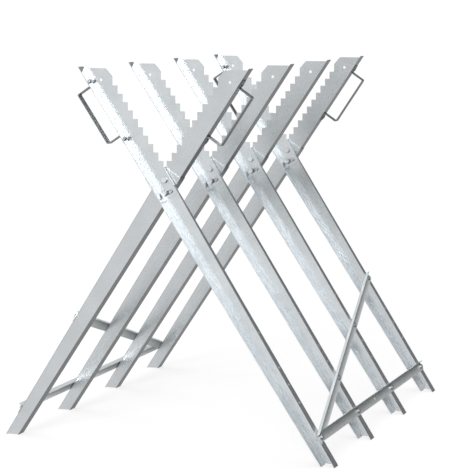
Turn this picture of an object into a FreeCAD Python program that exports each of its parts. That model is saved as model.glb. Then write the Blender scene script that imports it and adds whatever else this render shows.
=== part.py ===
import FreeCAD, Part
import math
import os
import Sketcher

# Folding log saw stand of galvanised sheet steel: four crossed frames in a row, each an a member and a
# b member that turn on one pivot bolt. A member is a toothed arm nested in a channel leg. Two cross bars
# and two diagonal braces join the legs of each side, and four bow handles sit on the outer frames.
#
# Frame: +Z up, +Y along the row, +X across it, origin on the floor under the middle of the row, in
# millimetres. Side a has its feet at +X and its folded edges towards -Y. Side b is side a turned half a
# turn about Z. A member is drawn upright, with its pivot at the origin, X towards the toothed edge and
# the face that meets the other side at Y = 0, and its Placement leans it over.

DRIVING_SIZES = (
    ("frame_pitch", 275.5, "from one crossed frame to the next"),
    ("head_height", 860, "floor to the flat top of an arm"),
    ("arm_flange_rise", 2.5, "folded edge of an arm above its flat top"),
    ("leg_flange_drop", 2, "folded edges of a leg below its web"),
    ("pivot_height", 614.5, "floor to the pivot bolts"),
    ("leg_angle", 33.8, "a member's inner edge from upright, in degrees"),
    ("leg_taper", 1.3, "how much less the outer edge of a leg leans, in degrees"),
    ("sheet_gauge", 1.5, "sheet steel of arms, legs and bars"),
    ("fold_radius", 1.4, "outside radius of a folded edge"),
    ("inner_offset", 28.4, "pivot to the inner edge of a leg"),
    ("outer_offset", 15.4, "pivot to the outer edge of a leg, level with the pivot"),
    ("leg_flange", 28, "depth of a leg's inner folded edge, and of its outer one at the foot"),
    ("leg_overlap", 23.5, "leg above the pivot, along the member"),
    ("leg_flange_top", 8.5, "depth of a leg's outer folded edge at its top"),
    ("arm_overlap", 41, "arm below the pivot, along the member"),
    ("arm_flange", 26.5, "depth of an arm's folded edge"),
    ("arm_outer", 12.5, "pivot to the outer edge of an arm inside its leg"),
    ("tooth_tip", 21.1, "pivot to the line of the tooth tips"),
    ("tooth_rise", 18.4, "height of one tooth"),
    ("top_tooth", 38, "flat top of an arm down to its highest tooth"),
    ("head_chamfer_across", 16, "slanted corner of an arm, across"),
    ("head_chamfer_down", 18, "slanted corner of an arm, down"),
    ("head_corner_a", 9, "radius of the slanted corner's two ends on side a"),
    ("head_corner_b", 2.5, "the same on side b"),
    ("head_hole_across", 153.8, "pivot to the hole near an arm's top, across"),
    ("head_hole_drop", 26.4, "flat top of an arm down to that hole"),
    ("head_hole", 7, "width of that hole"),
    ("pivot_thread", 8, "pivot and stop bolts"),
    ("pivot_hole", 8.2, "holes for the pivot bolts"),
    ("stop_radius", 30, "pivot to the middle of the curved slot"),
    ("stop_slot", 8.8, "width of the curved slot"),
    ("stop_travel", 33.8, "travel of a stop bolt in one slot, in degrees"),
    ("spacer_thick", 1.6, "washer between the two legs of a frame"),
    ("spacer_width", 22, "outside width of that washer"),
    ("pivot_head_flats", 13, "across the flats of a pivot bolt's head and nut"),
    ("pivot_head_thick", 5.3, "height of a pivot bolt's head"),
    ("pivot_nut_thick", 8, "height of a pivot bolt's lock nut"),
    ("pivot_tail", 2, "thread past the lock nut"),
    ("flange_hole", 6.4, "holes for the bars' bolts"),
    ("bar_hole_depth", 12.5, "legs' mating faces to the bars' bolts, along the row"),
    ("low_bar_height", 64, "floor to the bolts of a cross bar"),
    ("low_bar_reach", 373.5, "middle of the stand to the bolts of a cross bar"),
    ("brace_step", 88.8, "a brace climbs this much up the legs from frame to frame"),
    ("spare_hole", 134.5, "spare hole of a leg above its cross bar bolt"),
    ("bar_width", 22, "flat side of a bar"),
    ("bar_lip", 10, "standing side of a bar"),
    ("bar_overhang", 13, "bar past its end bolts"),
    ("bar_play", 0.15, "slack under a cross bar, which slopes from the brace's end to the last leg"),
    ("bar_thread", 6, "bolts of the bars"),
    ("bar_head_flats", 10, "across the flats of a bar bolt's head and nut"),
    ("bar_head_thick", 4, "height of a bar bolt's head"),
    ("bar_collar", 13, "width of the collar under a bar bolt's head"),
    ("bar_collar_thick", 1.4, "thickness of that collar"),
    ("bar_nut_thick", 5, "height of a bar bolt's nut"),
    ("bar_tail", 2.5, "thread past that nut"),
    ("grip_middle", 201, "pivot to the middle of a handle, along the arm"),
    ("grip_length", 132, "outside length of a handle's grip"),
    ("grip_stand", 38, "arm to the outside of a handle's grip"),
    ("grip_strap", 2, "strap steel of a handle"),
    ("grip_width", 18, "width of that strap"),
    ("grip_tab", 20, "screwed end of a handle"),
    ("grip_bend", 4, "outside radius of a handle's bends"),
    ("screw_thread", 5, "handle screws"),
    ("screw_head", 9.5, "width of a handle screw's head"),
    ("screw_head_thick", 2.6, "height of a handle screw's head"),
    ("screw_nut_flats", 8, "across the flats of a handle screw's nut"),
    ("screw_nut_thick", 4, "height of that nut"),
    ("screw_tail", 1.5, "thread past that nut"),
    ("thread_play", 0.1, "nuts and spacers wider than their threads"),
    ("fit_gap", 0.3, "play of a piece that lies beside another"),
)

FRAMES = (1, 2, 3, 4)
TEETH = 10
GRIP_FRAMES = (1, 4)
SIDES = ("a", "b")
# A hexagon's crown and a screw's top are this share of their width.
CROWN_SHARE = 0.97
SCREW_CROWN_SHARE = 0.7

os.makedirs("parts", exist_ok=True)
document = FreeCAD.newDocument("log_saw_stand")
sheet = document.addObject("Spreadsheet::Sheet", "sizes")
sub_parts = []


class Size:
    """A number and the sheet formula that gives it, so that a drawn point and its constraint agree."""

    def __init__(self, value, formula):
        self.value = value
        self.formula = formula

    def __add__(self, other):
        other = as_size(other)
        return Size(self.value + other.value, "(%s + %s)" % (self.formula, other.formula))

    def __sub__(self, other):
        other = as_size(other)
        return Size(self.value - other.value, "(%s - %s)" % (self.formula, other.formula))

    def __mul__(self, other):
        other = as_size(other)
        return Size(self.value * other.value, "(%s * %s)" % (self.formula, other.formula))

    def __truediv__(self, other):
        other = as_size(other)
        return Size(self.value / other.value, "(%s / %s)" % (self.formula, other.formula))

    def __neg__(self):
        return Size(-self.value, "(-1 * %s)" % self.formula)


def as_size(number):
    if isinstance(number, Size):
        return number
    return Size(float(number), "(%s)" % number)


def sine(angle):
    return Size(math.sin(math.radians(angle.value)), "sin(%s * 1 deg)" % angle.formula)


def cosine(angle):
    return Size(math.cos(math.radians(angle.value)), "cos(%s * 1 deg)" % angle.formula)


def tangent(angle):
    return sine(angle) / cosine(angle)


def fill_sheet():
    """Write the driving sizes to the sheet and return them by name."""
    named = {}
    for row, (name, value, note) in enumerate(DRIVING_SIZES, start=1):
        sheet.set("A%d" % row, name.replace("_", " "))
        sheet.set("B%d" % row, str(value))
        sheet.set("C%d" % row, note)
        sheet.setAlias("B%d" % row, name)
        named[name] = Size(float(value), "sizes.%s" % name)
    document.recompute()
    return named


sizes = fill_sheet()
gauge = sizes["sheet_gauge"]
lean = sizes["leg_angle"]
outer_lean = lean - sizes["leg_taper"]

# Heights below are measured from the pivot, and negative ones are below it.
head_rise = sizes["head_height"] - sizes["pivot_height"]
floor_drop = -sizes["pivot_height"]
web_drop = floor_drop + sizes["leg_flange_drop"]
taper_slope = tangent(sizes["leg_taper"])
half_spacer = sizes["spacer_thick"] / 2


def leaned(across, up):
    """Turn a level-and-plumb point, from the pivot, into a member's own drawing of itself upright."""
    return (across * cosine(lean) + up * sine(lean), up * cosine(lean) - across * sine(lean))


def across_at(offset, up):
    """Distance across from the pivot where the line at this offset reaches this height."""
    return (offset - up * sine(lean)) / cosine(lean)


def along_at(offset, up):
    """Distance along a member where the line at this offset reaches this height."""
    return (up - offset * sine(lean)) / cosine(lean)


def leg_outer(along):
    """Offset of a leg's outer edge at a distance along the member."""
    return sizes["outer_offset"] + along * taper_slope


def frame_place(frame):
    """Distance of a frame from the middle of the row, seen from side a."""
    return sizes["frame_pitch"] * (frame - (FRAMES[0] + FRAMES[-1]) / 2)


# Low bar bolts on the outer edge of a leg: how far down the member, and the edge's offset there
low_hole_along = (
    (sizes["low_bar_height"] - sizes["pivot_height"]) * cosine(lean) - sizes["low_bar_reach"] * sine(lean)
)
low_hole_offset = leg_outer(low_hole_along)


# Drawing helpers

NOTHING = as_size(0)
CENTRE = (NOTHING, NOTHING)
QUARTER_TURN = as_size(90)
TOUCH = 0.01


def vector_of(point):
    return FreeCAD.Vector(point[0].value, point[1].value, 0)


def new_body(label):
    body = document.addObject("PartDesign::Body", label)
    body.Label = label
    sub_parts.append(body)
    return body


def sketch_on(body, name, role, height=NOTHING):
    """A sketch on one of the body's own origin planes, raised along the plane's normal."""
    plane = next(item for item in body.Origin.OriginFeatures if item.Role == role)
    sketch = body.newObject("Sketcher::SketchObject", name)
    sketch.AttachmentSupport = [(plane, "")]
    sketch.MapMode = "FlatFace"
    sketch.setExpression("AttachmentOffset.Base.z", height.formula)
    return sketch


def pin(sketch, geometry, point, place):
    """Hold one point of a sketch at a place that the sheet gives."""
    for kind, distance in (("DistanceX", place[0]), ("DistanceY", place[1])):
        index = sketch.addConstraint(Sketcher.Constraint(kind, -1, 1, geometry, point, distance.value))
        sketch.setExpression("Constraints[%d]" % index, distance.formula)


def draw_outline(sketch, corners):
    """A closed outline of straight sides through the corners."""
    corners = list(corners)
    following = corners[1:] + corners[:1]
    sides = [Part.LineSegment(vector_of(here), vector_of(there)) for here, there in zip(corners, following)]
    first = sketch.addGeometry(sides)[0]
    count = len(corners)
    joins = []
    for index in range(count):
        joins.append(Sketcher.Constraint("Coincident", first + index, 2, first + (index + 1) % count, 1))
    sketch.addConstraint(joins)
    for index, corner in enumerate(corners):
        pin(sketch, first + index, 1, corner)


def draw_rectangle(sketch, low, high):
    draw_outline(sketch, [low, (high[0], low[1]), high, (low[0], high[1])])


def draw_hole(sketch, place, width):
    """A circle of a given width at a place."""
    index = sketch.addGeometry(Part.Circle(vector_of(place), FreeCAD.Vector(0, 0, 1), width.value / 2))
    pin(sketch, index, 3, place)
    diameter = sketch.addConstraint(Sketcher.Constraint("Diameter", index, width.value))
    sketch.setExpression("Constraints[%d]" % diameter, width.formula)


def pad(body, name, sketch, length):
    """Thicken a sketch along its plane's normal."""
    feature = body.newObject("PartDesign::Pad", name)
    feature.Profile = sketch
    feature.setExpression("Length", length.formula)


def cut_through(body, name, sketch, both_ways=True):
    """Cut a sketch all the way through, either both ways or along the sketch's normal only."""
    feature = body.newObject("PartDesign::Pocket", name)
    feature.Profile = sketch
    feature.SideType = "Symmetric" if both_ways else "One side"
    feature.Type = "ThroughAll"
    feature.Reversed = not both_ways


def round_edges(body, name, radius, chosen):
    """Round the edges of the body's shape so far whose two ends pass the test."""
    document.recompute()
    base = body.Tip
    edges = []
    for number, edge in enumerate(base.Shape.Edges, start=1):
        if len(edge.Vertexes) == 2 and chosen([vertex.Point for vertex in edge.Vertexes]):
            edges.append("Edge%d" % number)
    fillet = body.newObject("PartDesign::Fillet", name)
    fillet.Base = (base, edges)
    fillet.setExpression("Radius", radius.formula)


def near(value, target):
    return abs(value - target.value) < TOUCH


def corner_at(places):
    """A test for the two ends of an edge that runs along the row at one of these places."""
    def passes(ends):
        return any(all(near(end.x, across) and near(end.z, up) for end in ends) for across, up in places)
    return passes


def fold_at(across, row):
    """A test for the two ends of an edge that runs up a member."""
    def passes(ends):
        return all(near(end.x, across) and near(end.y, row) for end in ends)
    return passes


def set_place(item, side, row, across, up, turned, roll=NOTHING, twist=NOTHING):
    """Lean a piece of side a and set it in the row. A piece of side b is turned half a turn about Z."""
    half_turn = NOTHING
    if side == "b":
        half_turn = as_size(180)
        across = -across
        row = -row
    position = "vector(%s; %s; %s)" % (across.formula, row.formula, up.formula)
    rotation = "rotation(%s; %s; %s)" % (half_turn.formula, (-turned).formula, roll.formula)
    twisted = "rotation(%s; 0; 0)" % twist.formula
    item.setExpression("Placement", "placement(%s; %s * %s)" % (position, rotation, twisted))


def side_frame(side, frame):
    """The frame that side a would call this one: the row seen from side b starts at its other end."""
    return frame if side == "a" else FRAMES[0] + FRAMES[-1] - frame


def set_member_place(item, side, frame):
    """Set a piece that is drawn upright with its pivot at the origin."""
    row = frame_place(side_frame(side, frame)) - half_spacer
    set_place(item, side, row, NOTHING, sizes["pivot_height"], lean)


def slot_place(angle):
    """The middle of the curved slot at an angle from plumb below the pivot."""
    return leaned(sizes["stop_radius"] * sine(angle), -(sizes["stop_radius"] * cosine(angle)))


def cut_slot(body):
    """Cut the curved slot of the stop bolt, round the pivot from plumb to the end of its travel."""
    sketch = sketch_on(body, "slot_section", "XY_Plane")
    # The section's plane holds the pivot line and points at the middle of the slot.
    middle_turn = QUARTER_TURN + lean - sizes["stop_travel"] / 2
    turned_plane = "placement(vector(0; 0; 0); rotation(0; %s; 0))" % middle_turn.formula
    sketch.setExpression("AttachmentOffset.Base.z", None)
    sketch.setExpression("AttachmentOffset", turned_plane)
    half = sizes["stop_slot"] / 2
    depth = gauge * 3
    draw_rectangle(sketch, (sizes["stop_radius"] - half, -depth), (sizes["stop_radius"] + half, depth))
    groove = body.newObject("PartDesign::Groove", "slot_sweep")
    groove.Profile = sketch
    groove.ReferenceAxis = (sketch, ["V_Axis"])
    groove.Midplane = True
    groove.setExpression("Angle", sizes["stop_travel"].formula)
    ends = sketch_on(body, "slot_ends", "XZ_Plane")
    draw_hole(ends, slot_place(NOTHING), sizes["stop_slot"])
    draw_hole(ends, slot_place(sizes["stop_travel"]), sizes["stop_slot"])
    cut_through(body, "slot_end_cut", ends)


# Arms

arm_inner = gauge - sizes["inner_offset"]
tooth_run = sizes["tooth_rise"] * tangent(lean)
head_across = across_at(sizes["tooth_tip"], head_rise - sizes["top_tooth"]) - tooth_run


def slanted_corner():
    """Two ends of the slanted corner at an arm's head."""
    return [
        leaned(head_across - sizes["head_chamfer_across"], head_rise),
        leaned(head_across, head_rise - sizes["head_chamfer_down"]),
    ]


def arm_outline():
    """Corners of an arm's web: head, stair of teeth, and the narrow part that lies in the leg."""
    tip_up = head_rise - sizes["top_tooth"]
    tip_across = head_across + tooth_run
    corners = [
        (arm_inner, -sizes["arm_overlap"]),
        (arm_inner, along_at(arm_inner, head_rise)),
    ]
    corners.extend(slanted_corner())
    corners.append(leaned(head_across, tip_up))
    for _ in range(TEETH - 1):
        corners.append(leaned(tip_across, tip_up))
        tip_up = tip_up - sizes["tooth_rise"]
        corners.append(leaned(tip_across, tip_up))
        tip_across = tip_across + tooth_run
    corners.append(leaned(tip_across, tip_up))
    last_drop = (sizes["tooth_tip"] - sizes["arm_outer"]) / sine(lean)
    corners.append(leaned(tip_across, tip_up - last_drop))
    corners.append((sizes["arm_outer"], -sizes["arm_overlap"]))
    return corners


def make_arm(side, frame):
    """Toothed arm: a web with stair teeth, and one folded edge along its straight side."""
    body = new_body("%s_arm_%d" % (side, frame))
    web = sketch_on(body, "web_outline", "XZ_Plane", gauge)
    draw_outline(web, arm_outline())
    pad(body, "web", web, gauge)
    round_edges(body, "head_corners", sizes["head_corner_" + side], corner_at(slanted_corner()))
    top = along_at(arm_inner, head_rise) + sizes["arm_flange_rise"] / cosine(lean)
    edge = sketch_on(body, "edge_outline", "XZ_Plane", gauge)
    draw_rectangle(edge, (arm_inner, -sizes["arm_overlap"]), (arm_inner + gauge, top))
    pad(body, "folded_edge", edge, sizes["arm_flange"])
    round_edges(body, "fold", sizes["fold_radius"], fold_at(arm_inner, -gauge))
    holes = sketch_on(body, "web_holes", "XZ_Plane")
    draw_hole(holes, CENTRE, sizes["pivot_hole"])
    draw_hole(holes, leaned(-sizes["head_hole_across"], head_rise - sizes["head_hole_drop"]), sizes["head_hole"])
    cut_through(body, "web_hole_cut", holes)
    screw_holes = sketch_on(body, "screw_holes", "YZ_Plane")
    for along in grip_screws():
        draw_hole(screw_holes, (grip_depth, along), sizes["screw_thread"] + sizes["fit_gap"])
    cut_through(body, "screw_hole_cut", screw_holes)
    cut_slot(body)
    set_member_place(body, side, frame)


# Legs

leg_inner = -sizes["inner_offset"]
outer_tilt = cosine(lean) + taper_slope * sine(lean)


def outer_foot(height):
    """Distance along a leg where its outer edge reaches a height from the pivot."""
    return (height - sizes["outer_offset"] * sine(lean)) / outer_tilt


def channel_corners(inset, top, low):
    """Corners of a leg's outline, drawn in by an inset at its two long edges."""
    inner = leg_inner + inset
    outer_low = outer_foot(low)
    return [
        (inner, along_at(inner, low)),
        (leg_outer(outer_low) - inset, outer_low),
        (leg_outer(top) - inset, top),
        (inner, top),
    ]


def make_leg(side, frame):
    """Channel leg. Its web narrows towards the foot, and its outer folded edge towards the top."""
    body = new_body("%s_leg_%d" % (side, frame))
    top = sizes["leg_overlap"]
    foot = outer_foot(floor_drop)
    block = sketch_on(body, "channel_outline", "XZ_Plane")
    draw_outline(block, channel_corners(NOTHING, top, floor_drop))
    pad(body, "channel_block", block, sizes["leg_flange"])

    # Only the outer edge is cut back, from a plane between the two.
    middle = leg_inner / 2
    slope = sketch_on(body, "outer_slope", "YZ_Plane", middle)
    draw_outline(slope, [
        (-sizes["leg_flange"], foot),
        (-sizes["leg_flange_top"], top),
        (-sizes["leg_flange"], top),
    ])
    cut_through(body, "outer_slope_cut", slope, both_ways=False)

    def leg_fold(ends):
        on_inner = all(near(end.x, leg_inner) for end in ends)
        on_outer = all(near(end.x - taper_slope.value * end.z, sizes["outer_offset"]) for end in ends)
        return (on_inner or on_outer) and all(near(end.y, NOTHING) for end in ends)

    round_edges(body, "folds", sizes["fold_radius"], leg_fold)

    hollow = sketch_on(body, "hollow_outline", "XZ_Plane", gauge)
    below = floor_drop - sizes["leg_flange_drop"] * 2
    draw_outline(hollow, channel_corners(gauge, top + gauge, below))
    cut_through(body, "hollow", hollow, both_ways=False)

    # The web stops short of the floor, so that the leg stands on its two folded edges.
    relief = sketch_on(body, "web_relief", "XZ_Plane")
    inner = leg_inner + gauge
    web_foot = outer_foot(web_drop)
    draw_outline(relief, [
        (inner, along_at(inner, web_drop)),
        (leg_outer(web_foot) - gauge, web_foot),
        (leg_outer(outer_foot(below)) - gauge, outer_foot(below)),
        (inner, along_at(inner, below)),
    ])
    cut_through(body, "web_relief_cut", relief)

    holes = sketch_on(body, "pivot_hole", "XZ_Plane")
    draw_hole(holes, CENTRE, sizes["pivot_hole"])
    cut_through(body, "pivot_hole_cut", holes)
    # Only the outer folded edge is drilled.
    edge_holes = sketch_on(body, "edge_holes", "YZ_Plane", middle)
    for climb in edge_hole_climbs():
        along = low_hole_along + climb * cosine(sizes["leg_taper"])
        draw_hole(edge_holes, (-sizes["bar_hole_depth"], along), sizes["flange_hole"])
    cut_through(body, "edge_hole_cut", edge_holes, both_ways=False)
    cut_slot(body)
    set_member_place(body, side, frame)


def edge_hole_climbs():
    """Distances of a leg's bolt holes above its cross bar hole: one for each brace height and a spare."""
    climbs = [sizes["brace_step"] * step for step in range(len(FRAMES))]
    climbs.append(sizes["spare_hole"])
    return climbs


# Bars. A bar is drawn with its length along Y from the middle of its first bolt, its flat side standing
# on X = 0, and its lip along the upper edge.

row_length = sizes["frame_pitch"] * (len(FRAMES) - 1)
row_start = frame_place(FRAMES[0]) - half_spacer - sizes["bar_hole_depth"]
brace_climb = sizes["brace_step"] / sizes["frame_pitch"]
brace_angle = Size(math.degrees(math.atan(brace_climb.value)), "(atan(%s) / 1 deg)" % brace_climb.formula)
bar_tilt = Size(math.degrees((gauge / row_length).value), "(atan(%s) / 1 deg)" % (gauge / row_length).formula)


def new_bar(label, bolt_step, holes_along):
    """An angle bar through every frame, drilled at these distances along it."""
    body = new_body(label)
    half = sizes["bar_width"] / 2
    over = sizes["bar_overhang"]
    length = bolt_step * (len(FRAMES) - 1)
    # A pad on this plane grows towards -Y, so the section is drawn at the bar's far end.
    section = sketch_on(body, "section", "XZ_Plane", -(length + over))
    draw_outline(section, [
        (NOTHING, -half),
        (gauge, -half),
        (gauge, half - gauge),
        (sizes["bar_lip"], half - gauge),
        (sizes["bar_lip"], half),
        (NOTHING, half),
    ])
    pad(body, "bar", section, length + over * 2)
    round_edges(body, "fold", sizes["fold_radius"], lambda ends: all(
        near(end.x, NOTHING) and near(end.z, half) for end in ends
    ))
    holes = sketch_on(body, "bolt_holes", "YZ_Plane")
    for along in holes_along:
        draw_hole(holes, (along, NOTHING), sizes["flange_hole"])
    cut_through(body, "bolt_hole_cut", holes)
    return body


def place_on_edges(item, side, row, climb, raised, turned, roll=NOTHING, twist=NOTHING):
    """Set a piece on the outer faces of a side's legs, a distance up the leg from the low bolts."""
    out = low_hole_offset * cosine(lean) - low_hole_along * sine(lean)
    down = low_hole_along * cosine(lean) + low_hole_offset * sine(lean)
    across = out + raised * cosine(outer_lean) - climb * sine(outer_lean)
    up = sizes["pivot_height"] + down + raised * sine(outer_lean) + climb * cosine(outer_lean)
    set_place(item, side, row, across, up, turned, roll, twist)


def make_cross_bar(side):
    """Level bar along the feet. Its first end is cut back to lie inside the angle of the brace."""
    holes = [sizes["frame_pitch"] * step for step in range(len(FRAMES))]
    holes.append(row_length / 2)
    body = new_bar("%s_cross_bar" % side, sizes["frame_pitch"], holes)
    clear = sizes["bar_width"] / 2 - gauge - sizes["fit_gap"] * 2
    reach = sizes["bar_width"] * 2
    along = reach * cosine(brace_angle)
    rise = reach * sine(brace_angle)
    start = (-along - clear * sine(brace_angle), clear * cosine(brace_angle) - rise)
    finish = (along - clear * sine(brace_angle), clear * cosine(brace_angle) + rise)
    cope = sketch_on(body, "end_cope", "YZ_Plane")
    draw_outline(cope, [start, finish, (start[0], finish[1])])
    cut_through(body, "end_cope_cut", cope)
    # It rests on the brace's end at the first leg and on the leg itself at the last.
    place_on_edges(body, side, row_start, NOTHING, gauge + sizes["bar_play"], outer_lean, twist=bar_tilt)


def make_brace(side):
    """Brace that climbs one step of the leg holes from each frame to the next."""
    bolt_step = sizes["frame_pitch"] / cosine(brace_angle)
    holes = [bolt_step * step for step in range(len(FRAMES))]
    body = new_bar("%s_diagonal_brace" % side, bolt_step, holes)
    place_on_edges(body, side, row_start, NOTHING, NOTHING, outer_lean, roll=brace_angle)


# Handles

grip_depth = -(gauge * 2 + (sizes["arm_flange"] - gauge) / 2)


def grip_screws():
    """Places of a handle's two screws along the arm."""
    half = (sizes["grip_length"] + sizes["grip_tab"]) / 2
    return (sizes["grip_middle"] - half, sizes["grip_middle"] + half)


def make_grip(side, frame):
    """Bow handle of strap steel, screwed to the outside of an arm's folded edge by its two ends."""
    body = new_body("%s_handle_%d" % (side, frame))
    strap = sizes["grip_strap"]
    low = sizes["grip_middle"] - sizes["grip_length"] / 2
    high = sizes["grip_middle"] + sizes["grip_length"] / 2
    far = arm_inner - sizes["grip_stand"]
    bow = sketch_on(body, "bow_outline", "XZ_Plane", -(grip_depth + sizes["grip_width"] / 2))
    draw_outline(bow, [
        (arm_inner, low - sizes["grip_tab"]),
        (arm_inner - strap, low - sizes["grip_tab"]),
        (arm_inner - strap, low),
        (far, low),
        (far, high),
        (arm_inner - strap, high),
        (arm_inner - strap, high + sizes["grip_tab"]),
        (arm_inner, high + sizes["grip_tab"]),
        (arm_inner, high - strap),
        (far + strap, high - strap),
        (far + strap, low + strap),
        (arm_inner, low + strap),
    ])
    pad(body, "bow", bow, sizes["grip_width"])
    round_edges(body, "outer_bends", sizes["grip_bend"], corner_at([(far, low), (far, high)]))
    inner_corners = [(far + strap, low + strap), (far + strap, high - strap)]
    round_edges(body, "inner_bends", sizes["grip_bend"] - strap, corner_at(inner_corners))
    tab_corners = [(arm_inner, low + strap), (arm_inner, high - strap)]
    round_edges(body, "tab_bends", strap - sizes["fit_gap"], corner_at(tab_corners))
    holes = sketch_on(body, "screw_holes", "YZ_Plane")
    for along in grip_screws():
        draw_hole(holes, (grip_depth, along), sizes["screw_thread"] + sizes["fit_gap"])
    cut_through(body, "screw_hole_cut", holes)
    set_member_place(body, side, frame)


# Fasteners. Each is drawn along Z with the clamped sheets starting at Z = 0, its head below and its
# thread upwards. Pieces of one kind share a node.

def primitive(kind, name, base, **properties):
    """A Part primitive whose sizes and height come from the sheet."""
    item = document.addObject("Part::%s" % kind, name)
    for key, size in properties.items():
        item.setExpression(key, size.formula)
    item.setExpression("Placement.Base.z", base.formula)
    return item


def hexagon(name, flats, thick, base, crown_up):
    """A hexagon with its corners turned off on one face."""
    prism = primitive("Prism", name + "_hexagon", base, Circumradius=flats / math.sqrt(3), Height=thick)
    prism.Polygon = 6
    crown_width = flats * CROWN_SHARE / 2
    crown = crown_width * crown_width + thick * thick
    radius = Size(math.sqrt(crown.value), "sqrt(%s)" % crown.formula)
    centre = base if crown_up else base + thick
    ball = primitive("Sphere", name + "_crown", centre, Radius=radius)
    common = document.addObject("Part::Common", name + "_turned_hexagon")
    common.Base = prism
    common.Tool = ball
    return common


def joined(name, pieces):
    fuse = document.addObject("Part::MultiFuse", name)
    fuse.Shapes = pieces
    return fuse


def make_bolt(name, thread, flats, thick, before, after):
    """Hexagon bolt: its head bears a distance before Z = 0, its thread ends a distance after it."""
    head = hexagon(name, flats, thick, -(before + thick), crown_up=False)
    shank = primitive("Cylinder", name + "_shank", -before, Radius=thread / 2, Height=before + after)
    return joined(name, [head, shank])


def make_collar_bolt(name, before, after):
    """A bar's bolt, with a round collar under its hexagon."""
    collar = sizes["bar_collar_thick"]
    base = -(before + collar)
    ring = primitive("Cylinder", name + "_collar", base, Radius=sizes["bar_collar"] / 2, Height=collar)
    plain = make_bolt(
        name + "_plain", sizes["bar_thread"], sizes["bar_head_flats"], sizes["bar_head_thick"],
        before + collar, after
    )
    return joined(name, [plain, ring])


def make_screw(name, before, after):
    """A handle's screw, with a low round head."""
    low = -(before + sizes["screw_head_thick"])
    wide = sizes["screw_head"] / 2
    head = primitive(
        "Cone", name + "_head", low, Radius1=wide * SCREW_CROWN_SHARE, Radius2=wide,
        Height=sizes["screw_head_thick"]
    )
    shank = primitive(
        "Cylinder", name + "_shank", -before, Radius=sizes["screw_thread"] / 2, Height=before + after
    )
    return joined(name, [head, shank])


def make_nut(name, thread, flats, thick, base):
    """Hexagon nut from a height upwards, bored a little wider than its thread."""
    block = hexagon(name, flats, thick, base, crown_up=True)
    bore = primitive(
        "Cylinder", name + "_bore", base - thick, Radius=(thread + sizes["thread_play"]) / 2, Height=thick * 3
    )
    nut = document.addObject("Part::Cut", name)
    nut.Base = block
    nut.Tool = bore
    return nut


def make_washer(name, base):
    """Spacer between the legs of a frame."""
    ring = primitive(
        "Cylinder", name + "_ring", base, Radius=sizes["spacer_width"] / 2, Height=sizes["spacer_thick"]
    )
    bore = primitive(
        "Cylinder", name + "_bore", base - gauge, Radius=(sizes["pivot_thread"] + sizes["thread_play"]) / 2,
        Height=gauge * 3
    )
    washer = document.addObject("Part::Cut", name)
    washer.Base = ring
    washer.Tool = bore
    return washer


def gather(label, pieces):
    """Put the fasteners of one kind in one node."""
    group = document.addObject("Part::Compound", label)
    group.Label = label
    group.Links = pieces
    sub_parts.append(group)


side_stack = half_spacer + gauge * 2


def place_through(item, frame, across, down):
    """Set a fastener along the row through a frame, its Z = 0 midway between the two sides."""
    up = sizes["pivot_height"] - down
    set_place(item, "a", frame_place(frame), across, up, NOTHING, roll=-QUARTER_TURN)


def make_frame_bolts(word, down):
    """Bolt and lock nut of each frame, a distance below the pivot."""
    bolts = []
    nuts = []
    after = side_stack + sizes["pivot_nut_thick"] + sizes["pivot_tail"]
    for frame in FRAMES:
        bolt = make_bolt(
            "%s_bolt_%d" % (word, frame), sizes["pivot_thread"], sizes["pivot_head_flats"],
            sizes["pivot_head_thick"], side_stack, after
        )
        nut = make_nut(
            "%s_nut_%d" % (word, frame), sizes["pivot_thread"], sizes["pivot_head_flats"],
            sizes["pivot_nut_thick"], side_stack
        )
        place_through(bolt, frame, NOTHING, down)
        place_through(nut, frame, NOTHING, down)
        bolts.append(bolt)
        nuts.append(nut)
    gather("%s_bolts" % word, bolts)
    gather("%s_lock_nuts" % word, nuts)


def make_spacers():
    washers = []
    for frame in FRAMES:
        washer = make_washer("spacer_%d" % frame, -half_spacer)
        place_through(washer, frame, NOTHING, NOTHING)
        washers.append(washer)
    gather("pivot_spacers", washers)


def bar_bolt_places():
    """Each bolt of a side's bars: step along the row, climb up the leg, and how far its head is raised."""
    places = []
    for step in range(len(FRAMES)):
        bar_raise = gauge * (1 - step / (len(FRAMES) - 1)) + sizes["bar_play"]
        places.append((step, NOTHING, bar_raise + gauge + sizes["thread_play"]))
        if step > 0:
            places.append((step, sizes["brace_step"] * step, gauge))
    return places


def make_bar_fasteners(side):
    bolts = []
    nuts = []
    after = gauge + sizes["bar_nut_thick"] + sizes["bar_tail"]
    for number, (step, climb, raised) in enumerate(bar_bolt_places(), start=1):
        bolt = make_collar_bolt("%s_bar_bolt_%d" % (side, number), raised, after)
        nut = make_nut(
            "%s_bar_nut_%d" % (side, number), sizes["bar_thread"], sizes["bar_head_flats"],
            sizes["bar_nut_thick"], gauge
        )
        row = row_start + sizes["frame_pitch"] * step
        for piece in (bolt, nut):
            place_on_edges(piece, side, row, climb, NOTHING, QUARTER_TURN + outer_lean)
        bolts.append(bolt)
        nuts.append(nut)
    gather("%s_bar_bolts" % side, bolts)
    gather("%s_bar_nuts" % side, nuts)


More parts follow.
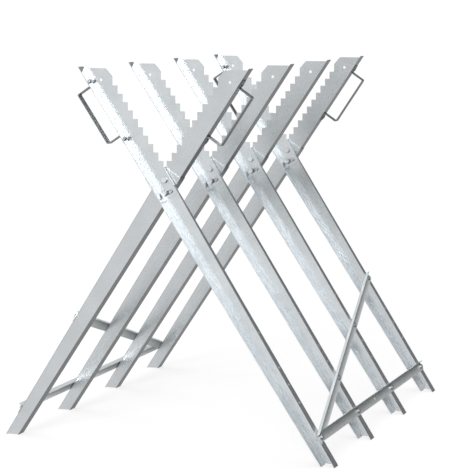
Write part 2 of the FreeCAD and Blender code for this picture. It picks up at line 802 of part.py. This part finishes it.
def make_grip_fasteners(side):
    screws = []
    nuts = []
    after = gauge + sizes["screw_nut_thick"] + sizes["screw_tail"]
    for frame in GRIP_FRAMES:
        row = frame_place(side_frame(side, frame)) - half_spacer + grip_depth
        for number, along in enumerate(grip_screws(), start=1):
            name = "%s_%d_%d" % (side, frame, number)
            screw = make_screw("grip_screw_" + name, sizes["grip_strap"], after)
            nut = make_nut(
                "grip_nut_" + name, sizes["screw_thread"], sizes["screw_nut_flats"],
                sizes["screw_nut_thick"], gauge
            )
            across = arm_inner * cosine(lean) - along * sine(lean)
            up = sizes["pivot_height"] + along * cosine(lean) + arm_inner * sine(lean)
            for piece in (screw, nut):
                set_place(piece, side, row, across, up, lean - QUARTER_TURN)
            screws.append(screw)
            nuts.append(nut)
    gather("%s_handle_screws" % side, screws)
    gather("%s_handle_nuts" % side, nuts)


def check_and_write():
    """Stop on any failed object or bad shape, and write one file for each sub-part."""
    document.recompute()
    for item in document.Objects:
        faults = [state for state in item.State if state in ("Invalid", "Error")]
        if faults:
            raise RuntimeError("%s is %s" % (item.Label, ", ".join(faults)))
    for item in sub_parts:
        if item.Shape.isNull() or not item.Shape.isValid():
            raise RuntimeError("%s has a bad shape" % item.Label)
    for item in sub_parts:
        item.Shape.exportStep("parts/%s.step" % item.Label)
        print("%-20s %d solids %9.0f mm3" % (item.Label, len(item.Shape.Solids), item.Shape.Volume))


def build():
    for side in SIDES:
        for frame in FRAMES:
            make_arm(side, frame)
            make_leg(side, frame)
        make_cross_bar(side)
        make_brace(side)
        for frame in GRIP_FRAMES:
            make_grip(side, frame)
        make_bar_fasteners(side)
        make_grip_fasteners(side)
    make_frame_bolts("pivot", NOTHING)
    make_frame_bolts("stop", sizes["stop_radius"])
    make_spacers()
    check_and_write()


build()
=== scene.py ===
"""Looks of the folding log saw stand: galvanised finishes, camera, lamps, studio walls and floor."""

from __future__ import annotations

import logging
import math
from dataclasses import dataclass
from enum import Enum

import bmesh
import bpy
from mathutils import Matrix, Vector


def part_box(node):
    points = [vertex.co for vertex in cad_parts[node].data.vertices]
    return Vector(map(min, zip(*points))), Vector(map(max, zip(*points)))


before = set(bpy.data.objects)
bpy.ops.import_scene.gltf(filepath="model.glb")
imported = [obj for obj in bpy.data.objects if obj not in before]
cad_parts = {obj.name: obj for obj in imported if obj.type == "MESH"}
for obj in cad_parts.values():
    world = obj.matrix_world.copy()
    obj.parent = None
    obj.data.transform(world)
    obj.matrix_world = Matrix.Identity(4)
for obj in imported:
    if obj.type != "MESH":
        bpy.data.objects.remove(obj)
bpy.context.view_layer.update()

LOG = logging.getLogger("log_saw_stand")

FRAMES = (1, 2, 3, 4)
GRIP_FRAMES = (1, 4)
FRAME_PITCH = 0.2755
BRACE_STEP = 0.0888
BRACE_ANGLE = math.atan2(BRACE_STEP, FRAME_PITCH)
LEG_ANGLE = math.radians(33.8)
LEG_TAPER = math.radians(1.3)
# The bars lie on the legs' outer edges, which lean less than the inner ones.
EDGE_ANGLE = LEG_ANGLE - LEG_TAPER

Socket = bpy.types.NodeSocket
Colour = tuple[float, float, float]


class Side(Enum):
    """The two halves of the stand. The value is the direction of the half's feet along X."""

    A = 1
    B = -1

    @property
    def prefix(self) -> str:
        """First letter of this side's nodes."""
        return self.name.lower()

    @property
    def grain_turn(self) -> float:
        """Turn about Y that stands this side's members upright, so that their grain runs along Z."""
        return self.value * LEG_ANGLE


class Grain(Enum):
    """Direction in which the rolls drew a sheet, as the scale of its streaks on X, Y and Z."""

    ALONG_Z = (1.0, 1.0, 0.02)
    ALONG_Y = (1.0, 0.02, 1.0)
    NONE = (1.0, 1.0, 1.0)


class NodeGraph:
    """A node material that is put together one node at a time."""

    def __init__(self, name: str) -> None:
        """Start an empty material.

        Args:
            name: The material's name.
        """
        self.material = bpy.data.materials.new(name)
        self.material.use_nodes = True
        self.tree = self.material.node_tree
        self.tree.nodes.clear()

    def add(self, kind: str, **settings: object) -> bpy.types.Node:
        """Add a node.

        Args:
            kind: Node type, without its "ShaderNode" prefix.
            **settings: Properties to set on it.

        Returns:
            The new node.
        """
        node = self.tree.nodes.new("ShaderNode" + kind)
        for key, value in settings.items():
            setattr(node, key, value)
        return node

    def wire(self, source: Socket, target: Socket) -> None:
        """Join an output to an input."""
        self.tree.links.new(source, target)

    def calculate(self, operation: str, first: Socket, second: float | Socket) -> Socket:
        """Add a Math node.

        Args:
            operation: The Math node's operation.
            first: First input.
            second: Second input, a number or an output.

        Returns:
            The result.
        """
        node = self.add("Math", operation=operation)
        self.wire(first, node.inputs[0])
        if isinstance(second, bpy.types.NodeSocket):
            self.wire(second, node.inputs[1])
        else:
            node.inputs[1].default_value = second
        return node.outputs[0]

    def spread(self, source: Socket, low: float, high: float, to_low: float, to_high: float) -> Socket:
        """Map a range of values to another and hold it there.

        Args:
            source: Value to map.
            low: Start of its range.
            high: End of its range.
            to_low: What the start becomes.
            to_high: What the end becomes.

        Returns:
            The mapped value.
        """
        node = self.add("MapRange", clamp=True)
        self.wire(source, node.inputs["Value"])
        for key, value in (("From Min", low), ("From Max", high), ("To Min", to_low), ("To Max", to_high)):
            node.inputs[key].default_value = value
        return node.outputs["Result"]

    def blend(self, factor: Socket, first: Colour | Socket, second: Colour | Socket) -> Socket:
        """Mix two colours.

        Args:
            factor: 0 for the first colour, 1 for the second.
            first: A colour or an output.
            second: A colour or an output.

        Returns:
            The mixed colour.
        """
        node = self.add("MixRGB", blend_type="MIX")
        self.wire(factor, node.inputs["Fac"])
        for key, colour in (("Color1", first), ("Color2", second)):
            if isinstance(colour, bpy.types.NodeSocket):
                self.wire(colour, node.inputs[key])
            else:
                node.inputs[key].default_value = (*colour, 1.0)
        return node.outputs["Color"]

    def coordinates(self, turn: float, scale: tuple[float, float, float]) -> Socket:
        """Object coordinates, turned about Y and scaled.

        Args:
            turn: Turn about Y in radians.
            scale: Scale on each axis after the turn.

        Returns:
            The vector.
        """
        place = self.add("TexCoord")
        turned = self.add("Mapping", vector_type="POINT")
        turned.inputs["Rotation"].default_value = (0.0, turn, 0.0)
        self.wire(place.outputs["Object"], turned.inputs["Vector"])
        scaled = self.add("Mapping", vector_type="POINT")
        scaled.inputs["Scale"].default_value = scale
        self.wire(turned.outputs["Vector"], scaled.inputs["Vector"])
        return scaled.outputs["Vector"]

    def upwardness(self) -> Socket:
        """How far a face looks up: 1 for level faces, 0 for standing ones, -1 for undersides."""
        place = self.add("TexCoord")
        parted = self.add("SeparateXYZ")
        self.wire(place.outputs["Normal"], parted.inputs[0])
        return parted.outputs["Z"]

    def noise(self, vector: Socket, scale: float, detail: float, roughness: float = 0.5) -> Socket:
        """Noise value.

        Args:
            vector: Where to read it.
            scale: Its scale in cycles per metre.
            detail: Octaves.
            roughness: Strength of the finer octaves.

        Returns:
            The value, about 0.3 to 0.7.
        """
        node = self.add("TexNoise")
        self.wire(vector, node.inputs["Vector"])
        node.inputs["Scale"].default_value = scale
        node.inputs["Detail"].default_value = detail
        node.inputs["Roughness"].default_value = roughness
        return node.outputs["Fac"]


@dataclass(frozen=True)
class LipShade:
    """Painted light on a bar: its zinc made paler and less metallic towards its free edge and on top of its
    lip, so that the corner under the lip looks shaded.

    Attributes:
        strength: How far the painted light lowers the metallic share at most.
        centre: Middle of the bar's flat side.
        away: Direction across the flat side, away from the lip.
    """

    strength: float
    centre: Vector
    away: Vector

    HALF_WIDTH = 0.011
    SLANTED_UP = 0.60
    LOOKS_UP = 0.75

    def share(self, graph: NodeGraph) -> Socket:
        """Share of painted light: none in the corner under the lip, all at the free edge and on top.

        Args:
            graph: Material to add it to.

        Returns:
            A value from 0 to 1.
        """
        place = graph.add("TexCoord")
        reach = graph.add("VectorMath", operation="DOT_PRODUCT")
        reach.inputs[1].default_value = self.away
        graph.wire(place.outputs["Object"], reach.inputs[0])
        middle = self.centre.dot(self.away)
        lip = middle - self.HALF_WIDTH
        edge = middle + self.HALF_WIDTH
        across = graph.spread(reach.outputs["Value"], lip, edge, 0.0, 1.0)
        on_top = graph.spread(graph.upwardness(), self.SLANTED_UP, self.LOOKS_UP, 0.0, 1.0)
        return graph.calculate("MAXIMUM", across, on_top)


@dataclass(frozen=True)
class ZincCoat:
    """Zinc on steel: crystals of the dip, rolling streaks, dull patches and a slight unevenness.

    Attributes:
        name: Material name.
        bright: Colour of the clean zinc.
        dull: Colour of its dull patches.
        roughness: Middle roughness.
        grain: Direction of the streaks.
        turn: Turn about Y that lays the grain along the axis.
        crystal: Width of the crystals in metres, or 0 for electroplating, which has none.
        lip_shade: Painted light at a bar's free edge and on top of its lip, if any.
    """

    name: str
    bright: Colour
    dull: Colour
    roughness: float
    grain: Grain
    turn: float = 0.0
    crystal: float = 0.0045
    lip_shade: LipShade | None = None

    # Share of bare metal in the surface, and what is left of its reflection where it is seen edge-on
    METALLIC = 0.9
    EDGE_TINT = (0.9, 0.9, 0.9, 1.0)

    # Cycles per metre of the patches, the streaks across the grain and the pits
    PATCH_SCALE = 14.0
    STREAK_SCALE = 900.0
    PIT_SCALE = 1400.0
    PATCH_DETAIL = 4.0
    PATCH_ROUGHNESS = 0.6
    STREAK_DETAIL = 3.0
    PIT_DETAIL = 2.0

    # Ranges of the noises that the tone and the roughness use
    PATCH_RANGE = (0.32, 0.68)
    STREAK_RANGE = (0.35, 0.65)
    ROUGH_RANGE = (0.3, 0.7)
    STREAK_TONE = 0.20
    CRYSTAL_TONE = 0.08
    ROUGHNESS_SPREAD = 0.07
    CRYSTAL_ROUGHNESS = 0.5

    # Relief of the pits and the crystals
    BUMP_STRENGTH = 0.35
    BUMP_DEPTH = 0.00003
    PIT_RELIEF = 0.35
    CRYSTAL_RELIEF = 0.3

    # Wavy borders of the crystals, in crystal widths
    BORDER_WAVE = 0.7
    BORDER_SCALE = 0.8
    BORDER_DETAIL = 2.0

    # Painted shade: faces that look down get a dark tone, which stands in for the dark that they reflect
    # from below.
    LOOKS_DOWN = -0.45
    STANDS = -0.15
    UNDERSIDE_SHADE_TONE = 0.16

    def make(self) -> bpy.types.Material:
        """Build the material.

        Returns:
            The node material.
        """
        graph = NodeGraph(self.name)
        plain = graph.coordinates(self.turn, Grain.NONE.value)
        streaked = graph.coordinates(self.turn, self.grain.value)
        patches = graph.noise(plain, self.PATCH_SCALE, self.PATCH_DETAIL, self.PATCH_ROUGHNESS)
        streaks = graph.noise(streaked, self.STREAK_SCALE, self.STREAK_DETAIL)
        pits = graph.noise(plain, self.PIT_SCALE, self.PIT_DETAIL)

        tone = graph.spread(patches, *self.PATCH_RANGE, 0.0, 1.0 - self.STREAK_TONE)
        tone = graph.calculate("ADD", tone, graph.spread(streaks, *self.STREAK_RANGE, 0.0, self.STREAK_TONE))
        rough = graph.spread(streaks, *self.ROUGH_RANGE, -self.ROUGHNESS_SPREAD, self.ROUGHNESS_SPREAD)
        rough = graph.calculate("ADD", rough, self.roughness)
        relief = graph.calculate("MULTIPLY", pits, self.PIT_RELIEF)
        if self.crystal > 0.0:
            cells = self.crystals(graph, plain)
            shade = graph.calculate("MULTIPLY", graph.calculate("SUBTRACT", cells, 0.5), self.CRYSTAL_TONE)
            tone = graph.calculate("ADD", tone, shade)
            rough = graph.calculate("ADD", rough, graph.calculate("MULTIPLY", shade, self.CRYSTAL_ROUGHNESS))
            relief = graph.calculate("ADD", relief, graph.calculate("MULTIPLY", cells, self.CRYSTAL_RELIEF))
        colour = graph.blend(graph.spread(tone, 0.0, 1.0, 0.0, 1.0), self.bright, self.dull)
        # Painted shade: faces that look down are blended towards this dark tone.
        underside_shade = tuple(part * self.UNDERSIDE_SHADE_TONE for part in self.dull)
        colour = graph.blend(self.underside(graph), colour, underside_shade)

        shader = graph.add("BsdfPrincipled")
        shader.inputs["Metallic"].default_value = self.METALLIC
        shader.inputs["Specular Tint"].default_value = self.EDGE_TINT
        # Painted light: towards the free edge and on top of the lip the zinc turns less metallic and paler,
        # so the corner under the lip looks shaded.
        if self.lip_shade is not None:
            lit_share = self.lip_shade.share(graph)
            lit_metallic = self.METALLIC * (1.0 - self.lip_shade.strength)
            graph.wire(graph.spread(lit_share, 0.0, 1.0, self.METALLIC, lit_metallic), shader.inputs["Metallic"])
            colour = graph.blend(lit_share, colour, self.bright)
        graph.wire(colour, shader.inputs["Base Color"])
        graph.wire(rough, shader.inputs["Roughness"])
        bump = graph.add("Bump")
        bump.inputs["Strength"].default_value = self.BUMP_STRENGTH
        bump.inputs["Distance"].default_value = self.BUMP_DEPTH
        graph.wire(relief, bump.inputs["Height"])
        graph.wire(bump.outputs["Normal"], shader.inputs["Normal"])
        output = graph.add("OutputMaterial")
        graph.wire(shader.outputs["BSDF"], output.inputs["Surface"])
        return graph.material

    def underside(self, graph: NodeGraph) -> Socket:
        """Share of painted shade: 0 for a face that stands or looks up, 1 for one that looks well down."""
        return graph.spread(graph.upwardness(), self.LOOKS_DOWN, self.STANDS, 1.0, 0.0)

    def crystals(self, graph: NodeGraph, vector: Socket) -> Socket:
        """Zinc crystals with wavy borders.

        Args:
            graph: Material to add them to.
            vector: Where to read them.

        Returns:
            A value from 0 to 1 that is the same all over one crystal.
        """
        wave = graph.add("TexNoise")
        wave.inputs["Scale"].default_value = self.BORDER_SCALE / self.crystal
        wave.inputs["Detail"].default_value = self.BORDER_DETAIL
        graph.wire(vector, wave.inputs["Vector"])
        shift = graph.add("VectorMath", operation="SCALE")
        shift.inputs["Scale"].default_value = self.crystal * self.BORDER_WAVE
        graph.wire(wave.outputs["Color"], shift.inputs[0])
        moved = graph.add("VectorMath", operation="ADD")
        graph.wire(vector, moved.inputs[0])
        graph.wire(shift.outputs["Vector"], moved.inputs[1])
        cells = graph.add("TexVoronoi", feature="F1")
        cells.inputs["Scale"].default_value = 1.0 / self.crystal
        graph.wire(moved.outputs["Vector"], cells.inputs["Vector"])
        parted = graph.add("SeparateColor")
        graph.wire(cells.outputs["Color"], parted.inputs["Color"])
        return parted.outputs["Red"]


def dress(node: str, material: bpy.types.Material) -> None:
    """Give a CAD node a material.

    Args:
        node: The node's name.
        material: The material for all its slots.
    """
    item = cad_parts[node]
    if not item.material_slots:
        item.data.materials.append(material)
    for slot in item.material_slots:
        slot.material = material
    LOG.info("dressed %s with %s", node, material.name)


@dataclass
class HalfStand:
    """One side's crossed members with the bars and handles on them.

    Attributes:
        side: Which side.
        zinc: Colour of clean zinc sheet.
        dull_zinc: Colour of its dull patches.
        strap_zinc: Colour of clean zinc on the handles' strap steel, painted dark as painted shade of the
            thin strap seen edge-on.
        dull_shaded_strap_zinc: Colour of its dull patches, darkened the same way.
        bar_zinc: Colour of clean zinc on the bars, also the colour of the painted light at their free edges.
        dull_bar_zinc: Colour of its dull patches.
        small_crystal: Width of the crystals on straps and bars in metres.
        cross_bar_lip_shade: How strong the painted light at the cross bar's free edge is.
        brace_lip_shade: How strong the painted light at the brace's free edge is.
    """

    side: Side
    zinc: Colour
    dull_zinc: Colour
    strap_zinc: Colour = (0.34, 0.36, 0.37)
    dull_shaded_strap_zinc: Colour = (0.24, 0.26, 0.27)
    bar_zinc: Colour = (0.76, 0.80, 0.81)
    dull_bar_zinc: Colour = (0.42, 0.45, 0.46)
    small_crystal: float = 0.003
    cross_bar_lip_shade: float = 0.55
    brace_lip_shade: float = 1.0

    def dress(self) -> None:
        """Give each piece of this side its finish."""
        name = self.side.prefix
        sheet = ZincCoat(
            name="zinc_sheet_" + name,
            bright=self.zinc,
            dull=self.dull_zinc,
            roughness=0.30,
            grain=Grain.ALONG_Z,
            turn=self.side.grain_turn,
        ).make()
        # The handles' zinc is painted dark: painted shade of the thin strap seen edge-on.
        strap = ZincCoat(
            name="zinc_strap_" + name,
            bright=self.strap_zinc,
            dull=self.dull_shaded_strap_zinc,
            roughness=0.34,
            grain=Grain.ALONG_Z,
            turn=self.side.grain_turn,
            crystal=self.small_crystal,
        ).make()
        for number in FRAMES:
            dress("%s_arm_%d" % (name, number), sheet)
            dress("%s_leg_%d" % (name, number), sheet)
        for number in GRIP_FRAMES:
            dress("%s_handle_%d" % (name, number), strap)
        self.dress_bar("cross_bar", 0.0, self.cross_bar_lip_shade)
        self.dress_bar("diagonal_brace", BRACE_ANGLE, self.brace_lip_shade)

    def dress_bar(self, word: str, climb: float, lip_shade: float) -> None:
        """Give a bar its finish.

        Args:
            word: The bar's node name without the side.
            climb: Its angle to the row, in the plane of the legs' edges.
            lip_shade: How strong the painted light at its free edge is.
        """
        node = "%s_%s" % (self.side.prefix, word)
        low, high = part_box(node)
        # Up the legs, and along the row from this side's own first frame.
        up = Vector((-self.side.value * math.sin(EDGE_ANGLE), 0.0, math.cos(EDGE_ANGLE)))
        along = Vector((0.0, self.side.value, 0.0))
        away = along * math.sin(climb) - up * math.cos(climb)
        finish = ZincCoat(
            name="zinc_" + node,
            bright=self.bar_zinc,
            dull=self.dull_bar_zinc,
            roughness=0.32,
            grain=Grain.ALONG_Y,
            crystal=self.small_crystal,
            # Painted light at the bar's free edge, away from the lip.
            lip_shade=LipShade(lip_shade, (Vector(low) + Vector(high)) / 2, away),
        )
        dress(node, finish.make())


@dataclass
class Fasteners:
    """Bolts, screws, nuts and washers of the whole stand.

    Attributes:
        plate: Colour of clean zinc plate.
        dull_plate: Colour of its dull patches.
        shaded_plate: Colour of the handles' screws and nuts, painted darker as painted shade for where they
            sit inside the flange.
        dull_shaded_plate: Colour of their dull patches.
    """

    plate: Colour = (0.76, 0.79, 0.81)
    dull_plate: Colour = (0.58, 0.61, 0.63)
    shaded_plate: Colour = (0.34, 0.36, 0.37)
    dull_shaded_plate: Colour = (0.22, 0.24, 0.25)

    def dress(self) -> None:
        """Give each its plating."""
        plate = ZincCoat(
            name="zinc_plate",
            bright=self.plate,
            dull=self.dull_plate,
            roughness=0.28,
            grain=Grain.NONE,
            crystal=0.0,
        ).make()
        dark = ZincCoat(
            name="shaded_plate",
            bright=self.shaded_plate,
            dull=self.dull_shaded_plate,
            roughness=0.30,
            grain=Grain.NONE,
            crystal=0.0,
        ).make()
        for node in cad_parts:
            # The handles' screws and nuts get the darker plate: painted shade inside the flange.
            if node.endswith(("handle_screws", "handle_nuts")):
                dress(node, dark)
            elif node.endswith(("bolts", "nuts", "spacers")):
                dress(node, plate)


@dataclass(frozen=True)
class Lamp:
    """A soft sun.

    Attributes:
        name: Its name.
        azimuth: Turn round the stand in degrees, 0 at -Y.
        elevation: Height above the horizon in degrees.
        strength: Its strength.
        softness: Its width in degrees.
    """

    name: str
    azimuth: float
    elevation: float
    strength: float
    softness: float


@dataclass(frozen=True)
class Wash:
    """Light of a wall or ceiling that grows towards one direction.

    Attributes:
        toward: The direction in which it is brightest.
        low: Where it starts, as the cosine of the angle from that direction.
        high: Where it reaches its full strength.
        dark: Strength before the start.
        bright: Full strength.
    """

    toward: Vector
    low: float
    high: float
    dark: float
    bright: float


def direction(azimuth: float, elevation: float) -> Vector:
    """Direction from the stand towards a place round it.

    Args:
        azimuth: Turn round the stand in degrees, 0 at -Y.
        elevation: Height above the horizon in degrees.

    Returns:
        A vector of length 1.
    """
    turn = math.radians(azimuth)
    rise = math.radians(elevation)
    level = math.cos(rise)
    return Vector((math.sin(turn) * level, -math.cos(turn) * level, math.sin(rise)))


@dataclass
class Studio:
    """Camera, lamps, walls and floor.

    Attributes:
        azimuth: Camera's turn round the stand in degrees, 0 looking along +Y.
        elevation: Camera's height above the horizon in degrees.
        distance: Camera to its target in metres.
        target: What the camera looks at.
        focal_pixels: Focal length in pixels of the picture.
        picture_pixels: Width of the picture in pixels.
        floor_half: Half the floor's width in metres.
        floor_colour: Colour of the floor's paint.
        floor_lift: Light of its own that the floor shows, which makes it white beside the shadow.
        lamps: The suns.
        wall: Strength of the walls behind the stand.
        ceiling: Strength of the ceiling.
        front: Strength of the wall behind the camera.
    """

    azimuth: float = 20.88
    elevation: float = 7.53
    distance: float = 4.564
    target: tuple[float, float, float] = (0.0089, 0.0, 0.4395)
    focal_pixels: float = 1868.0
    picture_pixels: int = 470
    floor_half: float = 400.0
    floor_colour: Colour = (0.26, 0.26, 0.26)
    floor_lift: float = 0.76
    lamps: tuple[Lamp, ...] = (
        Lamp("key", azimuth=4.0, elevation=28.0, strength=1.5, softness=24.0),
        Lamp("top", azimuth=-140.0, elevation=74.0, strength=0.5, softness=40.0),
    )
    wall: float = 0.14
    ceiling: float = 0.70
    front: float = 0.85

    def build(self) -> None:
        """Set everything up."""
        self.add_camera()
        for lamp in self.lamps:
            self.add_lamp(lamp)
        self.add_world()
        self.add_floor()
        bpy.context.scene.view_settings.view_transform = "Standard"
        LOG.info("set up the camera, %d lamps, the walls and the floor", len(self.lamps))

    def add_camera(self) -> None:
        """Make the camera at the photograph's angle."""
        data = bpy.data.cameras.new("camera")
        data.lens = self.focal_pixels / self.picture_pixels * data.sensor_width
        camera = bpy.data.objects.new("camera", data)
        back = direction(self.azimuth, self.elevation)
        camera.location = Vector(self.target) + back * self.distance
        camera.rotation_mode = "QUATERNION"
        camera.rotation_quaternion = (-back).to_track_quat("-Z", "Y")
        bpy.context.scene.collection.objects.link(camera)
        bpy.context.scene.camera = camera

    def add_lamp(self, lamp: Lamp) -> None:
        """Add a soft sun, which lights the object and the floor evenly.

        Args:
            lamp: Where it stands and how strong and soft it is.
        """
        data = bpy.data.lights.new(lamp.name, "SUN")
        data.energy = lamp.strength
        data.angle = math.radians(lamp.softness)
        sun = bpy.data.objects.new(lamp.name, data)
        sun.rotation_mode = "QUATERNION"
        sun.rotation_quaternion = (-direction(lamp.azimuth, lamp.elevation)).to_track_quat("-Z", "Y")
        bpy.context.scene.collection.objects.link(sun)

    def add_world(self) -> None:
        """Light the surroundings: a bright wall behind the camera, grey ones opposite, a pale ceiling."""
        ceiling = Wash(Vector((0.0, 0.0, 1.0)), low=0.30, high=0.55, dark=self.wall, bright=self.ceiling)
        front = Wash(direction(self.azimuth, 0.0), low=-0.05, high=0.55, dark=0.0, bright=self.front)
        world = bpy.data.worlds.new("studio")
        world.use_nodes = True
        bpy.context.scene.world = world
        nodes = world.node_tree.nodes
        links = world.node_tree.links
        nodes.clear()
        place = nodes.new("ShaderNodeTexCoord")
        brightest = nodes.new("ShaderNodeMath")
        brightest.operation = "MAXIMUM"
        for wash, target in zip((ceiling, front), brightest.inputs):
            reach = nodes.new("ShaderNodeVectorMath")
            reach.operation = "DOT_PRODUCT"
            reach.inputs[1].default_value = wash.toward
            links.new(place.outputs["Generated"], reach.inputs[0])
            ramp = nodes.new("ShaderNodeMapRange")
            ramp.interpolation_type = "SMOOTHSTEP"
            ramp.inputs["From Min"].default_value = wash.low
            ramp.inputs["From Max"].default_value = wash.high
            ramp.inputs["To Min"].default_value = wash.dark
            ramp.inputs["To Max"].default_value = wash.bright
            links.new(reach.outputs["Value"], ramp.inputs["Value"])
            links.new(ramp.outputs[0], target)
        background = nodes.new("ShaderNodeBackground")
        background.inputs["Color"].default_value = (1.0, 1.0, 1.0, 1.0)
        output = nodes.new("ShaderNodeOutputWorld")
        links.new(brightest.outputs[0], background.inputs["Strength"])
        links.new(background.outputs[0], output.inputs["Surface"])

    def add_floor(self) -> None:
        """Lay a pale floor that is white beside the object's own shadow."""
        mesh = bpy.data.meshes.new("floor")
        shape = bmesh.new()
        bmesh.ops.create_grid(shape, x_segments=1, y_segments=1, size=self.floor_half)
        shape.to_mesh(mesh)
        shape.free()
        mesh.materials.append(self.floor_paint())
        floor = bpy.data.objects.new("floor", mesh)
        bpy.context.scene.collection.objects.link(floor)

    def floor_paint(self) -> bpy.types.Material:
        """Grey paint that shines white by eye, in metal and through glass, and lights nothing else.

        Returns:
            The node material.
        """
        graph = NodeGraph("floor_paint")
        path = graph.add("LightPath")
        shown = path.outputs["Is Camera Ray"]
        for ray in ("Is Glossy Ray", "Is Transmission Ray"):
            shown = graph.calculate("MAXIMUM", shown, path.outputs[ray])
        paint = graph.add("BsdfDiffuse")
        paint.inputs["Color"].default_value = (*self.floor_colour, 1.0)
        lift = graph.add("Emission")
        graph.wire(graph.calculate("MULTIPLY", shown, self.floor_lift), lift.inputs["Strength"])
        both = graph.add("AddShader")
        graph.wire(paint.outputs[0], both.inputs[0])
        graph.wire(lift.outputs[0], both.inputs[1])
        output = graph.add("OutputMaterial")
        graph.wire(both.outputs[0], output.inputs["Surface"])
        return graph.material


def main() -> None:
    """Set up the studio and dress the frame."""
    logging.basicConfig(level=logging.INFO)
    Studio().build()
    # Side b's sheet is the same zinc as side a's, painted darker as painted shade.
    HalfStand(Side.A, zinc=(0.68, 0.71, 0.73), dull_zinc=(0.57, 0.60, 0.62)).dress()
    HalfStand(Side.B, zinc=(0.58, 0.605, 0.62), dull_zinc=(0.52, 0.545, 0.56)).dress()
    Fasteners().dress()


if __name__ == "__main__":
    main()
